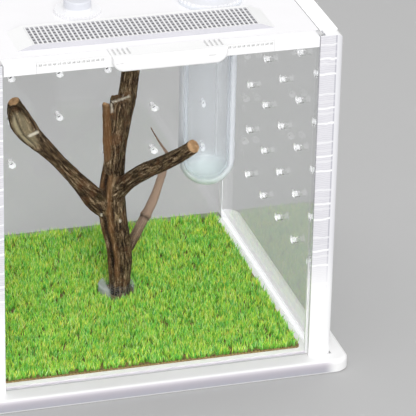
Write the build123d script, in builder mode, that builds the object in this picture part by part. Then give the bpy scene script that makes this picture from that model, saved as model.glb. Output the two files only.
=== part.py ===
from build123d import *
import os

os.makedirs("parts", exist_ok=True)

# All lengths are millimetres. X runs to the right, Y to the back and Z up. The origin is
# on the table, under the middle of the base.

# Clear case
case_width = 100.0
case_depth = 96.0
case_top = 102.0
wall_thickness = 5.0
glue_gap = 0.05

# Base tray, with the ledge that stands out round the case
front_ledge = 4.6
side_ledge = 5.2
rear_ledge = 1.6
base_thickness = 4.0
base_corner_radius = 4.5
base_edge_radius = 1.2
base_foot_chamfer = 0.5
seat_depth = 0.8
seat_clearance = 0.05

# Air holes in the walls
air_hole_diameter = 1.8
side_hole_columns = 5
side_hole_rows = 5
side_hole_pitch_y = 15.0
side_hole_pitch_z = 14.55
side_hole_setback = 7.2
side_hole_first_z = 29.8
back_hole_columns = 6
back_hole_rows = 5
back_hole_pitch_x = 14.72
back_hole_pitch_z = 14.15
back_hole_centre_x = 1.1
back_hole_first_z = 29.1

# Front posts, grooved for the sliding door
post_width = 6.8
post_depth = 4.5
post_overhang = 0.65
post_rounding = 2.0
door_groove_depth = 1.45

# Sliding door with its header bar
door_thickness = 2.0
door_setback = 1.3
door_face_clearance = 0.2
door_edge_clearance = 0.25
door_seat_clearance = 0.1
header_height = 3.0
header_side_clearance = 0.3
header_slot_depth = 1.7
header_slot_clearance = 0.05

# White finger pull let into the header
pull_left = -34.7
pull_right = 30.8
pull_thickness = 1.0
pull_fit = 0.05
tab_centre_x = 1.45
tab_width = 31.7
tab_reach = 2.0
tab_lip = 1.0
tab_corner_radius = 3.2
tab_edge_radius = 0.6
tab_score_length = 21.5
tab_score_width = 0.2
tab_score_depth = 0.35
tab_score_setback = 0.65
corner_mark_length = 1.9
corner_mark_height = 0.25
corner_mark_depth = 0.35
corner_mark_rise = 2.4
left_mark_inset = 0.8
right_mark_inset = 3.5
cap_strip_thickness = 0.8
cap_strip_rise = 0.3
grip_groove_count = 4
grip_groove_pitch = 1.35
grip_groove_width = 0.6
grip_groove_depth = 0.8
grip_groove_inset = 0.8
slot_pitch = 1.3
slot_width = 0.85
slot_depth = 0.8
slot_height = 0.6
slot_drop = 0.35
left_slot_count = 15
right_slot_count = 11
left_slot_gap = 2.0
right_slot_gap = 0.5

# Lid
lid_thickness = 3.0
lid_clearance = 0.3
rest_width = 2.0
rest_height = 2.0

# Vent with its raised frame
mesh_centre_x = -2.0
mesh_setback = 15.1
mesh_columns = 48
mesh_rows = 6
mesh_pitch_x = 1.30
mesh_pitch_y = 1.89
mesh_hole_x = 0.8
mesh_hole_y = 1.25
mesh_thickness = 0.3
mesh_border = 0.2
mesh_fit = 0.05
vent_frame_rise = 1.5
vent_frame_wall = 0.25
vent_frame_rear = 1.5
vent_frame_slope = 4.0
vent_shelf = 0.8

# Ports behind the vent
port_setback = 32.0
port_clearance = 0.25
flange_rib_count = 36
flange_rib_depth = 0.25
flange_rib_width = 0.5

# Feeder tube, a round-bottomed test tube
tube_centre_x = 21.9
tube_diameter = 16.0
tube_wall = 1.1
tube_hang = 55.6
tube_rim_diameter = 17.8
tube_rim_thickness = 0.8
cap_flange_diameter = 17.4
cap_flange_thickness = 1.0
cap_plug_length = 5.0
cap_plug_clearance = 0.15
cap_knob_diameter = 9.4
cap_knob_height = 3.0
knob_edge_radius = 0.5

# Plug of the small port
plug_centre_x = -15.7
plug_diameter = 8.8
plug_length = 4.5
plug_flange_diameter = 12.8
plug_flange_thickness = 1.0
plug_knob_diameter = 7.6
plug_knob_height = 3.0

# Turf mat
turf_gap = 2.0
turf_front_gap = 1.1
turf_rear_gap = 0.3
turf_backing_thickness = 0.6
turf_pile_height = 2.5
turf_corner_radius = 1.0
turf_foot_gap = 0.15

# Foot disc of the branch
foot_x = 0.5
foot_y = 1.7
foot_diameter = 10.6
foot_thickness = 3.3
foot_edge_radius = 0.6
stem_fit = 0.1
trunk_x = 1.6
trunk_y = 2.0
trunk_radius = 3.1
branch_lid_gap = 7.0

# Places worked out from the sizes
outer_x = case_width / 2
inner_x = outer_x - wall_thickness
front_y = -case_depth / 2
back_y = case_depth / 2
inner_back_y = back_y - wall_thickness
post_back_y = front_y + post_depth
post_outer_x = outer_x + post_overhang
post_inner_x = post_outer_x - post_width
seat_z = base_thickness - seat_depth
groove_end_x = post_inner_x + door_groove_depth
door_front_y = front_y + door_setback
door_half_width = groove_end_x - door_edge_clearance
door_bottom_z = seat_z + door_seat_clearance
header_bottom_z = case_top - header_height
header_half_width = post_inner_x - header_side_clearance
door_top_z = header_bottom_z + header_slot_depth
horn_start_x = header_half_width + header_slot_clearance
lid_bottom_z = case_top - lid_thickness
lid_half_width = inner_x - lid_clearance
lid_front_y = post_back_y + lid_clearance
lid_back_y = inner_back_y - lid_clearance
mesh_centre_y = front_y + mesh_setback
mesh_length = mesh_columns * mesh_pitch_x + 2 * mesh_border
mesh_depth = mesh_rows * mesh_pitch_y + 2 * mesh_border
port_y = front_y + port_setback
turf_top_z = base_thickness + turf_backing_thickness
turf_half_width = inner_x - turf_gap
turf_front_y = post_back_y + turf_front_gap
turf_back_y = inner_back_y - turf_rear_gap


def block(low, high, mode=Mode.ADD):
    """A square-edged block between two corners."""
    with BuildSketch(Plane.XY.offset(low[2])) as plan:
        with Locations(((low[0] + high[0]) / 2, (low[1] + high[1]) / 2)):
            Rectangle(high[0] - low[0], high[1] - low[1])
    extrude(plan.sketch, amount=high[2] - low[2], mode=mode)


def disc(x, y, z, radius, height, mode=Mode.ADD):
    """A round disc or hole that stands on height z."""
    with BuildSketch(Plane.XY.offset(z)) as plan:
        with Locations((x, y)):
            Circle(radius)
    extrude(plan.sketch, amount=height, mode=mode)


def finish(piece, name):
    """Label a finished piece and write it under its own name."""
    piece.part.label = name
    export_step(piece.part, "parts/" + name + ".step")


# Base tray: a plate with grooves for the walls, the posts and the door's lower edge
with BuildPart() as base_tray:
    with BuildSketch():
        with Locations((0, (rear_ledge - front_ledge) / 2)):
            RectangleRounded(case_width + 2 * side_ledge, case_depth + front_ledge + rear_ledge,
                             base_corner_radius)
    extrude(amount=base_thickness)
    fillet(base_tray.faces().sort_by(Axis.Z)[-1].edges(), base_edge_radius)
    chamfer(base_tray.faces().sort_by(Axis.Z)[0].edges(), base_foot_chamfer)
    for side in (-1, 1):
        side_low = min(side * (inner_x - seat_clearance), side * (outer_x + seat_clearance))
        side_high = max(side * (inner_x - seat_clearance), side * (outer_x + seat_clearance))
        post_low = min(side * (post_inner_x - seat_clearance), side * (post_outer_x + seat_clearance))
        post_high = max(side * (post_inner_x - seat_clearance), side * (post_outer_x + seat_clearance))
        block((side_low, post_back_y, seat_z), (side_high, back_y + seat_clearance, base_thickness),
              mode=Mode.SUBTRACT)
        block((post_low, front_y - seat_clearance, seat_z),
              (post_high, post_back_y + seat_clearance, base_thickness), mode=Mode.SUBTRACT)
    block((-inner_x, inner_back_y - seat_clearance, seat_z),
          (inner_x, back_y + seat_clearance, base_thickness), mode=Mode.SUBTRACT)
    block((-post_inner_x, door_front_y - door_face_clearance, seat_z),
          (post_inner_x, door_front_y + door_thickness + door_face_clearance, base_thickness),
          mode=Mode.SUBTRACT)
finish(base_tray, "base_tray")

# Side walls behind the posts, each with a square grid of air holes
with BuildPart() as right_wall:
    block((inner_x, post_back_y + glue_gap, seat_z), (outer_x, back_y, case_top))
    hole_grid_y = front_y + side_hole_setback + side_hole_pitch_y * (side_hole_columns - 1) / 2
    hole_grid_z = side_hole_first_z + side_hole_pitch_z * (side_hole_rows - 1) / 2
    with BuildSketch(Plane.YZ.offset(outer_x)):
        with Locations((hole_grid_y, hole_grid_z)):
            with GridLocations(side_hole_pitch_y, side_hole_pitch_z, side_hole_columns, side_hole_rows):
                Circle(air_hole_diameter / 2)
    extrude(amount=-wall_thickness, mode=Mode.SUBTRACT)
finish(right_wall, "right_wall")

with BuildPart() as left_wall:
    mirror(right_wall.part, about=Plane.YZ)
finish(left_wall, "left_wall")

# Back wall between the side walls
with BuildPart() as back_wall:
    block((glue_gap - inner_x, inner_back_y, seat_z), (inner_x - glue_gap, back_y, case_top))
    back_grid_z = back_hole_first_z + back_hole_pitch_z * (back_hole_rows - 1) / 2
    with BuildSketch(Plane(origin=(0, back_y, 0), x_dir=(1, 0, 0), z_dir=(0, -1, 0))):
        with Locations((back_hole_centre_x, back_grid_z)):
            with GridLocations(back_hole_pitch_x, back_hole_pitch_z, back_hole_columns, back_hole_rows):
                Circle(air_hole_diameter / 2)
    extrude(amount=wall_thickness, mode=Mode.SUBTRACT)
finish(back_wall, "back_wall")

# Front posts: rounded outside, grooved inside for the door
with BuildPart() as right_post:
    block((post_inner_x, front_y, seat_z), (post_outer_x, post_back_y, case_top))
    front_corner = right_post.edges().filter_by(Axis.Z).group_by(Axis.X)[-1].sort_by(Axis.Y)[0]
    top_corner = right_post.edges().filter_by(Axis.Y).group_by(Axis.Z)[-1].sort_by(Axis.X)[-1]
    fillet([front_corner, top_corner], post_rounding)
    block((post_inner_x, door_front_y - door_face_clearance, seat_z),
          (groove_end_x, door_front_y + door_thickness + door_face_clearance, case_top),
          mode=Mode.SUBTRACT)
finish(right_post, "right_post")

with BuildPart() as left_post:
    mirror(right_post.part, about=Plane.YZ)
finish(left_post, "left_post")

# Sliding door pane, which runs in the posts' grooves, with a tongue between two horns on top
with BuildPart() as door_pane:
    block((-door_half_width, door_front_y, door_bottom_z),
          (door_half_width, door_front_y + door_thickness, case_top))
    block((-horn_start_x, door_front_y, door_top_z),
          (horn_start_x, door_front_y + door_thickness, case_top), mode=Mode.SUBTRACT)
finish(door_pane, "door_pane")

# Header bar on top of the pane, cut away for the finger pull
tab_left = tab_centre_x - tab_width / 2
tab_right = tab_centre_x + tab_width / 2
cap_strip_z = case_top - cap_strip_thickness
with BuildPart() as door_header:
    block((-header_half_width, front_y, header_bottom_z), (header_half_width, post_back_y, case_top))
    block((-header_half_width, door_front_y - header_slot_clearance, header_bottom_z),
          (header_half_width, door_front_y + door_thickness + header_slot_clearance, door_top_z),
          mode=Mode.SUBTRACT)
    block((pull_left - pull_fit, front_y, header_bottom_z),
          (pull_right + pull_fit, front_y + pull_thickness, case_top), mode=Mode.SUBTRACT)
    block((tab_left - pull_fit, front_y + pull_thickness, cap_strip_z),
          (tab_right + pull_fit, post_back_y, case_top), mode=Mode.SUBTRACT)
finish(door_header, "door_header")

# Finger pull: a strip over the header's face with a row of slots, a tab to lift by and a cap
# strip with grip grooves
tab_front_y = front_y - tab_reach
tab_top_z = case_top + cap_strip_rise
tab_bottom_z = header_bottom_z - tab_lip
with BuildPart() as finger_pull:
    with BuildSketch(Plane(origin=(0, front_y, 0), x_dir=(1, 0, 0), z_dir=(0, -1, 0))) as tab_face:
        with Locations((tab_centre_x, (tab_top_z + tab_bottom_z) / 2)):
            Rectangle(tab_width, tab_top_z - tab_bottom_z)
        fillet(tab_face.vertices().group_by(Axis.Y)[0], tab_corner_radius)
    extrude(amount=tab_reach)
    fillet(finger_pull.faces().sort_by(Axis.Y)[0].edges(), tab_edge_radius)
    block((pull_left, front_y, header_bottom_z), (pull_right, front_y + pull_thickness, case_top))
    block((tab_left, front_y, cap_strip_z), (tab_right, post_back_y - pull_fit, tab_top_z))
    for groove in range(grip_groove_count):
        groove_offset = tab_width / 2 - grip_groove_inset - grip_groove_width / 2 - groove * grip_groove_pitch
        for groove_x in (tab_centre_x - groove_offset, tab_centre_x + groove_offset):
            block((groove_x - grip_groove_width / 2, front_y, tab_top_z - grip_groove_depth),
                  (groove_x + grip_groove_width / 2, post_back_y, tab_top_z), mode=Mode.SUBTRACT)
    score_y = tab_front_y + tab_score_setback
    block((tab_centre_x - tab_score_length / 2, score_y, tab_top_z - tab_score_depth),
          (tab_centre_x + tab_score_length / 2, score_y + tab_score_width, tab_top_z), mode=Mode.SUBTRACT)
    mark_z = tab_bottom_z + corner_mark_rise
    for mark_x in (tab_left + left_mark_inset, tab_right - right_mark_inset - corner_mark_length):
        block((mark_x, tab_front_y, mark_z),
              (mark_x + corner_mark_length, tab_front_y + corner_mark_depth, mark_z + corner_mark_height),
              mode=Mode.SUBTRACT)
    slot_top_z = case_top - slot_drop
    slots_left_end = tab_left - left_slot_gap
    slots_right_start = tab_right + right_slot_gap
    for slot in range(left_slot_count):
        slot_x = slots_left_end - slot * slot_pitch
        block((slot_x - slot_width, front_y, slot_top_z - slot_height),
              (slot_x, front_y + slot_depth, slot_top_z), mode=Mode.SUBTRACT)
    for slot in range(right_slot_count):
        slot_x = slots_right_start + slot * slot_pitch
        block((slot_x, front_y, slot_top_z - slot_height),
              (slot_x + slot_width, front_y + slot_depth, slot_top_z), mode=Mode.SUBTRACT)
finish(finger_pull, "finger_pull")

# Strips inside the walls that the lid lies on
strip_low_z = lid_bottom_z - rest_height
with BuildPart() as right_lid_rest:
    block((inner_x - rest_width, post_back_y + glue_gap, strip_low_z),
          (inner_x - glue_gap, inner_back_y - glue_gap, lid_bottom_z))
finish(right_lid_rest, "right_lid_rest")

with BuildPart() as left_lid_rest:
    mirror(right_lid_rest.part, about=Plane.YZ)
finish(left_lid_rest, "left_lid_rest")

with BuildPart() as rear_lid_rest:
    block((rest_width + glue_gap - inner_x, inner_back_y - rest_width, strip_low_z),
          (inner_x - rest_width - glue_gap, inner_back_y - glue_gap, lid_bottom_z))
finish(rear_lid_rest, "rear_lid_rest")

# Lid panel with the vent's opening and the two port holes
opening_half_x = mesh_length / 2 - vent_shelf
opening_half_y = mesh_depth / 2 - vent_shelf
tube_hole_radius = tube_diameter / 2 + port_clearance
plug_hole_radius = plug_diameter / 2 + port_clearance
with BuildPart() as lid_panel:
    block((-lid_half_width, lid_front_y, lid_bottom_z), (lid_half_width, lid_back_y, case_top))
    block((mesh_centre_x - opening_half_x, mesh_centre_y - opening_half_y, lid_bottom_z),
          (mesh_centre_x + opening_half_x, mesh_centre_y + opening_half_y, case_top),
          mode=Mode.SUBTRACT)
    disc(tube_centre_x, port_y, lid_bottom_z, tube_hole_radius, lid_thickness, mode=Mode.SUBTRACT)
    disc(plug_centre_x, port_y, lid_bottom_z, plug_hole_radius, lid_thickness, mode=Mode.SUBTRACT)
finish(lid_panel, "lid_panel")

# Raised frame round the vent: upright in front, sloped at both ends, with a shelf for the mesh
frame_top_z = case_top + vent_frame_rise
shelf_z = frame_top_z - mesh_thickness
pocket_half_x = mesh_length / 2 + mesh_fit
pocket_half_y = mesh_depth / 2 + mesh_fit
frame_front_y = mesh_centre_y - pocket_half_y - vent_frame_wall
frame_rear_y = mesh_centre_y + pocket_half_y + vent_frame_rear
frame_top_half_x = pocket_half_x + vent_frame_wall
frame_foot_half_x = frame_top_half_x + vent_frame_slope
with BuildPart() as mesh_frame:
    with BuildSketch(Plane(origin=(mesh_centre_x, frame_front_y, case_top), x_dir=(1, 0, 0),
                           z_dir=(0, -1, 0))):
        with BuildLine():
            Polyline((-frame_foot_half_x, 0), (frame_foot_half_x, 0), (frame_top_half_x, vent_frame_rise),
                     (-frame_top_half_x, vent_frame_rise), close=True)
        make_face()
    extrude(amount=frame_front_y - frame_rear_y)
    block((mesh_centre_x - opening_half_x, mesh_centre_y - opening_half_y, case_top),
          (mesh_centre_x + opening_half_x, mesh_centre_y + opening_half_y, frame_top_z),
          mode=Mode.SUBTRACT)
    block((mesh_centre_x - pocket_half_x, mesh_centre_y - pocket_half_y, shelf_z),
          (mesh_centre_x + pocket_half_x, mesh_centre_y + pocket_half_y, frame_top_z),
          mode=Mode.SUBTRACT)
finish(mesh_frame, "mesh_frame")

# Vent mesh: a thin plate with rows of small oblong holes
with BuildPart() as vent_mesh:
    with BuildSketch(Plane.XY.offset(shelf_z)):
        with Locations((mesh_centre_x, mesh_centre_y)):
            Rectangle(mesh_length, mesh_depth)
            with GridLocations(mesh_pitch_x, mesh_pitch_y, mesh_columns, mesh_rows):
                Rectangle(mesh_hole_x, mesh_hole_y, mode=Mode.SUBTRACT)
    extrude(amount=mesh_thickness)
finish(vent_mesh, "vent_mesh")

# Feeder tube: round bottom, thin wall and a rim that lies on the lid
tube_radius = tube_diameter / 2
tube_bore_radius = tube_radius - tube_wall
tube_round_z = case_top - tube_hang + tube_radius
tube_top_z = case_top + tube_rim_thickness
with BuildPart() as feeder_tube:
    with BuildSketch(Plane(origin=(tube_centre_x, port_y, 0), x_dir=(1, 0, 0), z_dir=(0, -1, 0))):
        with BuildLine():
            RadiusArc((0, tube_round_z - tube_radius), (tube_radius, tube_round_z), -tube_radius)
            Polyline((tube_radius, tube_round_z), (tube_radius, case_top),
                     (tube_rim_diameter / 2, case_top), (tube_rim_diameter / 2, tube_top_z),
                     (tube_bore_radius, tube_top_z), (tube_bore_radius, tube_round_z))
            RadiusArc((tube_bore_radius, tube_round_z), (0, tube_round_z - tube_bore_radius),
                      tube_bore_radius)
            Line((0, tube_round_z - tube_bore_radius), (0, tube_round_z - tube_radius))
        make_face()
    revolve(axis=Axis((tube_centre_x, port_y, 0), (0, 0, 1)))
finish(feeder_tube, "feeder_tube")


def ribbed_flange(x, y, z, diameter, thickness):
    """A round flange with fine upright ribs round its edge."""
    disc(x, y, z, diameter / 2 - flange_rib_depth, thickness)
    with BuildSketch(Plane.XY.offset(z)) as ribs:
        with Locations((x, y)):
            with PolarLocations(diameter / 2 - flange_rib_depth, flange_rib_count):
                Rectangle(2 * flange_rib_depth, flange_rib_width)
    extrude(ribs.sketch, amount=thickness)


# Cap of the feeder tube: a stopper, a ribbed flange and a round knob
with BuildPart() as tube_cap:
    knob_foot_z = tube_top_z + cap_flange_thickness
    disc(tube_centre_x, port_y, knob_foot_z, cap_knob_diameter / 2, cap_knob_height)
    fillet(tube_cap.faces().sort_by(Axis.Z)[-1].edges(), knob_edge_radius)
    ribbed_flange(tube_centre_x, port_y, tube_top_z, cap_flange_diameter, cap_flange_thickness)
    disc(tube_centre_x, port_y, tube_top_z - cap_plug_length, tube_bore_radius - cap_plug_clearance,
         cap_plug_length)
finish(tube_cap, "tube_cap")

# Plug of the small port, made like the tube's cap
with BuildPart() as port_plug:
    plug_knob_z = case_top + plug_flange_thickness
    disc(plug_centre_x, port_y, plug_knob_z, plug_knob_diameter / 2, plug_knob_height)
    fillet(port_plug.faces().sort_by(Axis.Z)[-1].edges(), knob_edge_radius)
    ribbed_flange(plug_centre_x, port_y, case_top, plug_flange_diameter, plug_flange_thickness)
    disc(plug_centre_x, port_y, case_top - plug_length, plug_diameter / 2, plug_length)
finish(port_plug, "port_plug")

# Turf mat: a thin backing and the pile on it, open where the foot disc stands
turf_middle_y = (turf_front_y + turf_back_y) / 2
turf_length = turf_back_y - turf_front_y
with BuildPart() as turf_backing:
    with BuildSketch(Plane.XY.offset(base_thickness)):
        with Locations((0, turf_middle_y)):
            RectangleRounded(2 * turf_half_width, turf_length, turf_corner_radius)
    extrude(amount=turf_backing_thickness)
finish(turf_backing, "turf_backing")

with BuildPart() as turf_pile:
    with BuildSketch(Plane.XY.offset(turf_top_z)):
        with Locations((0, turf_middle_y)):
            RectangleRounded(2 * turf_half_width, turf_length, turf_corner_radius)
        with Locations((foot_x, foot_y)):
            Circle(foot_diameter / 2 + turf_foot_gap, mode=Mode.SUBTRACT)
    extrude(amount=turf_pile_height)
finish(turf_pile, "turf_pile")

# Foot disc with the socket that the trunk stands in
with BuildPart() as branch_foot:
    disc(foot_x, foot_y, turf_top_z, foot_diameter / 2, foot_thickness)
    fillet(branch_foot.faces().sort_by(Axis.Z)[-1].edges(), foot_edge_radius)
    disc(trunk_x, trunk_y, turf_top_z, trunk_radius + stem_fit, foot_thickness, mode=Mode.SUBTRACT)
finish(branch_foot, "branch_foot")

# Branch: each limb is a list of x, y, height above the turf backing, and radius. A limb starts
# inside the one that it grows from and ends in a flat cut.
trunk = (
    (trunk_x, trunk_y, 0.0, trunk_radius),
    (trunk_x, trunk_y, foot_thickness + stem_fit, trunk_radius),
    (1.9, 2.5, 10.2, 3.56),
    (0.4, 2.5, 20.3, 3.78),
    (-0.8, 2.0, 28.9, 3.88),
    (-0.7, 2.0, 36.5, 3.45),
    (0.2, 2.9, 43.3, 2.95),
    (2.3, 4.0, 53.1, 2.6),
    (3.9, 5.0, 60.0, 2.6),
    (5.6, 6.4, 68.3, 2.55),
    (7.1, 7.6, lid_bottom_z - branch_lid_gap - turf_top_z, 2.5),
)
left_limb = (
    (-0.6, 2.0, 26.0, 2.6),
    (-12.2, 0.0, 39.3, 2.3),
    (-20.6, -1.8, 49.6, 2.2),
    (-27.1, -4.0, 57.8, 3.1),
    (-31.4, -5.7, 68.2, 1.5),
)
stub = (
    (-0.8, 1.6, 40.0, 2.0),
    (-2.3, 0.5, 46.8, 1.5),
    (-3.1, -0.3, 55.2, 1.15),
    (-3.5, -1.0, 62.3, 1.0),
)
snag = (
    (-1.2, 1.4, 41.0, 2.4),
    (-0.5, 1.1, 48.0, 2.5),
    (0.3, 0.8, 55.5, 2.6),
    (1.0, 0.7, 62.8, 2.7),
)
right_limb = (
    (-0.4, 1.6, 31.8, 2.4),
    (5.2, -10.0, 44.1, 2.3),
    (9.3, -20.0, 51.5, 2.1),
    (14.6, -28.0, 59.3, 1.9),
)
twig = (
    (2.4, 3.2, 7.4, 1.44),
    (5.6, 5.6, 13.0, 1.4),
    (11.7, 10.0, 20.1, 1.38),
    (16.5, 13.0, 29.0, 1.16),
    (19.8, 15.0, 37.1, 1.02),
)
sprig = (
    (19.9, 15.1, 36.0, 0.5),
    (15.8, 14.0, 42.6, 0.28),
    (13.6, 13.0, 46.8, 0.18),
)


def grow(limb):
    """A tapered limb through the round sections that its list gives."""
    places = [Vector(x, y, turf_top_z + height) for x, y, height, radius in limb]
    sections = []
    for index, (x, y, height, radius) in enumerate(limb):
        before = places[max(index - 1, 0)]
        after = places[min(index + 1, len(limb) - 1)]
        heading = after - before
        if limb is trunk and index < 2:
            heading = Vector(0, 0, 1)
        with BuildSketch(Plane(origin=places[index], x_dir=(0, 1, 0), z_dir=heading)) as section:
            Circle(radius)
        sections.append(section.sketch)
    loft(sections)


with BuildPart() as branch:
    for limb in (trunk, left_limb, stub, snag, right_limb, twig, sprig):
        grow(limb)
finish(branch, "branch")
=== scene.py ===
import math

import bpy
import numpy as np
from mathutils import Matrix, Vector, noise


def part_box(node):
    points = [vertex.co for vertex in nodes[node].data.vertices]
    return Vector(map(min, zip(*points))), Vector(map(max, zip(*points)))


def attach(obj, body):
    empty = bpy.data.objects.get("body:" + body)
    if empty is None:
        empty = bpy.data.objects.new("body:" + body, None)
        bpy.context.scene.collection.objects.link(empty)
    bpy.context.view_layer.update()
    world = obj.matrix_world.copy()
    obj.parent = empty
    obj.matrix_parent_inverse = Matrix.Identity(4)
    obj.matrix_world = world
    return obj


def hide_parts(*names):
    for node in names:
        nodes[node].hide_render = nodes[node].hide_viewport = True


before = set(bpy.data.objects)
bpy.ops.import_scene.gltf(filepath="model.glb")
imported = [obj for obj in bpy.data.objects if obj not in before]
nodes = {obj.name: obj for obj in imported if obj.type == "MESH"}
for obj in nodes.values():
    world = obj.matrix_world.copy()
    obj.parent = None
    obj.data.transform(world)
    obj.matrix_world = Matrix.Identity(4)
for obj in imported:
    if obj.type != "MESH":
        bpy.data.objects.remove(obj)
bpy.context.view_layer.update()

MM = 0.001


# Camera: the photograph's viewing angle, worked out in the part's own frame
AZIMUTH = math.radians(16.797)
ELEVATION = math.radians(26.044)
ROLL = math.radians(1.3056)
FOCUS_POINT = Vector((13.13, -48.14, 54.30)) * MM
DISTANCE = 825.98 * MM
LENS_MM = 261.52
SENSOR_MM = 36.0

# Case sizes that the finishes follow
BASE_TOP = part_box("base_tray")[1][2]
LID_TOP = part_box("lid_panel")[1][2]
TUBE_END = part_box("feeder_tube")[0][2]
WALL_INNER_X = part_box("right_wall")[0][0]
WALL_INNER_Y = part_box("back_wall")[0][1]
VENT_LOW, VENT_HIGH = (Vector(corner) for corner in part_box("vent_mesh"))
MESH_MARGIN = 0.2 * MM
MESH_PITCH = 1.30 * MM
CAP_FLANGE_TOP = LID_TOP + 1.5 * MM
FOOT_CENTRE = Vector((0.5, 1.7)) * MM
FOOT_RADIUS = 5.5 * MM

# Air holes: the first row and column in each wall, the steps to the next ones, the heights between
# which all of them lie, and their radius
SIDE_HOLE_Z = 29.8 * MM
SIDE_HOLE_PITCH_Z = 14.55 * MM
SIDE_HOLE_Y = -40.8 * MM
SIDE_HOLE_PITCH_Y = 15.0 * MM
BACK_HOLE_Z = 29.1 * MM
BACK_HOLE_PITCH_Z = 14.15 * MM
BACK_HOLE_PITCH_X = 14.72 * MM
BACK_HOLE_X = 1.1 * MM - BACK_HOLE_PITCH_X / 2
HOLES_FROM_Z = 20 * MM
HOLES_TO_Z = 94 * MM
HOLE_RADIUS = 0.9 * MM

# Front posts: where the flat face ends and where the thin lip behind the door ends and starts, the
# height up to which the post is painted white all over, and the painted bright lines that stand in for
# the wall's edges and holes shining through, each as its place between two rows of holes and its strength
POST_FLAT_END = 48.65 * MM
POST_LIP_END = 45.4 * MM
POST_LIP_FRONT_Y = -47.7 * MM
POST_PAINTED_WHITE_TOP = 22 * MM
POST_PAINTED_LINES = ((0.183, 1.0), (0.498, 0.9), (0.39, 0.35), (0.785, 0.55), (0.62, 0.2))

# The share of the lamps' light that reaches what is behind a clear sheet
PANE_SHARE = 0.95


def place_camera():
    """The camera looks from the front left, above the box."""
    ahead = Vector((math.sin(AZIMUTH) * math.cos(ELEVATION), math.cos(AZIMUTH) * math.cos(ELEVATION),
                    -math.sin(ELEVATION)))
    across = ahead.cross(Vector((0, 0, 1))).normalized()
    upward = across.cross(ahead)
    right = math.cos(ROLL) * across + math.sin(ROLL) * upward
    up = math.cos(ROLL) * upward - math.sin(ROLL) * across
    data = bpy.data.cameras.new("photo_view")
    data.lens = LENS_MM
    data.sensor_width = SENSOR_MM
    data.clip_start = 0.05
    data.clip_end = 20
    camera = bpy.data.objects.new("photo_view", data)
    turn = Matrix((right, up, -ahead)).transposed().to_4x4()
    camera.matrix_world = Matrix.Translation(FOCUS_POINT - DISTANCE * ahead) @ turn
    bpy.context.scene.collection.objects.link(camera)
    bpy.context.scene.camera = camera


# Shader maths
class Flow:
    """A number, colour or vector that runs through a material's nodes."""

    def __init__(self, sheet, socket):
        self.sheet = sheet
        self.socket = socket

    def _maths(self, operation, left, right):
        return self.sheet.node("Math", {"operation": operation}, {0: left, 1: right})

    def __add__(self, other):
        return self._maths("ADD", self, other)

    __radd__ = __add__

    def __sub__(self, other):
        return self._maths("SUBTRACT", self, other)

    def __rsub__(self, other):
        return self._maths("SUBTRACT", other, self)

    def __mul__(self, other):
        return self._maths("MULTIPLY", self, other)

    __rmul__ = __mul__

    def __truediv__(self, other):
        return self._maths("DIVIDE", self, other)

    def __neg__(self):
        return 0 - self

    def __abs__(self):
        return self.sheet.node("Math", {"operation": "ABSOLUTE"}, {0: self})

    def root(self):
        return self.sheet.node("Math", {"operation": "SQRT"}, {0: self})

    def fraction(self):
        """What is left of the value without its whole number."""
        return self.sheet.node("Math", {"operation": "FRACT"}, {0: self})

    def clamped(self):
        """Held between 0 and 1."""
        return self.sheet.node("Clamp", None, {"Value": self})

    def above(self, low, high):
        """0 below low, 1 above high and smooth between them."""
        return self.sheet.node("MapRange", {"interpolation_type": "SMOOTHSTEP"},
                               {"Value": self, "From Min": low, "From Max": high})


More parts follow.
